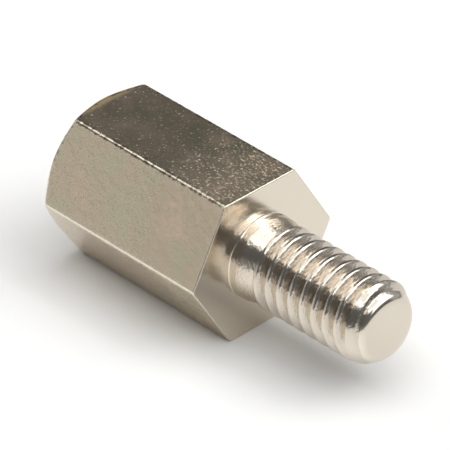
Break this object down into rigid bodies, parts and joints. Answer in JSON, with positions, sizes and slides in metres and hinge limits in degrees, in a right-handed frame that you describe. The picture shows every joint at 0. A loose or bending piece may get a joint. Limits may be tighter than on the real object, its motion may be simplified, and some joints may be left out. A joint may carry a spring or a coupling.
{
  "type": "hex standoff",
  "caption": "Hexagonal standoff with a threaded stud on one end and a blind tapped hole in the other.",
  "frame": {"origin": "centre of the shoulder face, where the stud leaves the body", "axes": "+X along the stud, out of the shoulder; -Z out of the flat that the part lies on"},
  "size_m": [0.0177, 0.008, 0.007],
  "materials": {
    "nickel_plated_brass": "nickel plated over brass, satin on the drawn flats and brighter on the turned stud"
  },
  "bodies": {
    "root": {"standoff": "nickel_plated_brass"}
  },
  "joints": []
}
